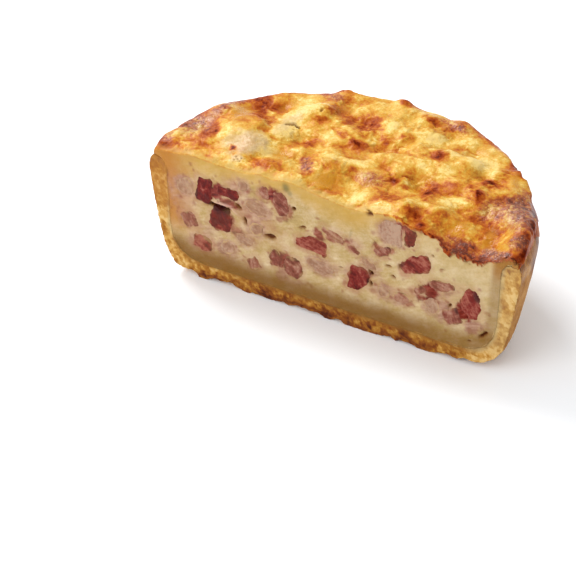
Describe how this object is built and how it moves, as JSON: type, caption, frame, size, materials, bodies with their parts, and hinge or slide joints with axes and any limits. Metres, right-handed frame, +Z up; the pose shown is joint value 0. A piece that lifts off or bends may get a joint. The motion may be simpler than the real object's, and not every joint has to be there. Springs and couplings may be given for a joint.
{
  "type": "half ham quiche",
  "caption": "Half of a deep round quiche with browned cheese on top, a straight cut face showing diced ham in egg custard, and a thick pastry crust.",
  "frame": {"origin": "on the flat underside, 26 mm behind the middle of the cut, below the middle of the half", "axes": "+X along the cut to the right when looking at the cut face, +Y from the cut face towards the round back, +Z up"},
  "size_m": [0.1239, 0.0619, 0.0475],
  "materials": {
    "pastry": "baked, crumbly, browned",
    "filling": "set egg custard with browned, oily cheese on top",
    "dark_ham": "moist cut meat",
    "pink_ham": "moist cut meat",
    "pale_ham": "moist cut meat"
  },
  "bodies": {
    "root": {"pastry_crust": "pastry", "egg_filling": "filling", "ham_01": "dark_ham", "ham_02": "dark_ham", "ham_03": "dark_ham", "ham_04": "pale_ham", "ham_05": "pale_ham", "ham_06": "pink_ham", "ham_07": "pink_ham", "ham_08": "pale_ham", "ham_09": "pale_ham", "ham_10": "pink_ham", "ham_11": "pink_ham", "ham_12": "dark_ham", "ham_13": "pink_ham", "ham_14": "pink_ham", "ham_15": "pale_ham", "ham_16": "pale_ham", "ham_17": "dark_ham", "ham_18": "pale_ham", "ham_19": "dark_ham", "ham_20": "pink_ham", "ham_21": "dark_ham", "ham_22": "pink_ham", "ham_23": "pink_ham", "ham_24": "pink_ham", "ham_25": "pale_ham", "ham_26": "pale_ham", "ham_27": "pink_ham", "ham_28": "dark_ham", "ham_29": "pink_ham", "ham_30": "dark_ham", "ham_31": "pale_ham", "ham_32": "pale_ham", "ham_33": "pink_ham"}
  },
  "joints": []
}
